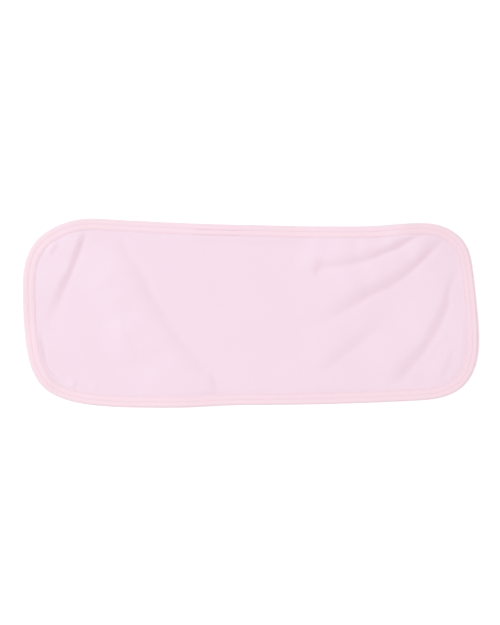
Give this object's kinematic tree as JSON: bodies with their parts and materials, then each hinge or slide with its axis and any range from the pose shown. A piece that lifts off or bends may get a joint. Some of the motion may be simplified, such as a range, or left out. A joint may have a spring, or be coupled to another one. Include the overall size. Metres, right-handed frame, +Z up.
{
  "type": "burp cloth",
  "caption": "Soft knitted burp cloth with rounded corners and a stitched binding round its whole edge, lying open and lightly creased.",
  "frame": {"origin": "on the surface that the cloth lies on, under the middle of its outline", "axes": "+X along the cloth's length towards the end with more creases, +Y across it, +Z up out of its face"},
  "size_m": [0.5078, 0.2107, 0.0072],
  "materials": {
    "cloth_panel": "soft brushed cotton knit, matt, pale pink",
    "edge_binding": "smooth fine cotton knit, matt, pale pink"
  },
  "bodies": {
    "root": {"cloth_panel": "cloth_panel", "edge_binding": "edge_binding"}
  },
  "joints": []
}
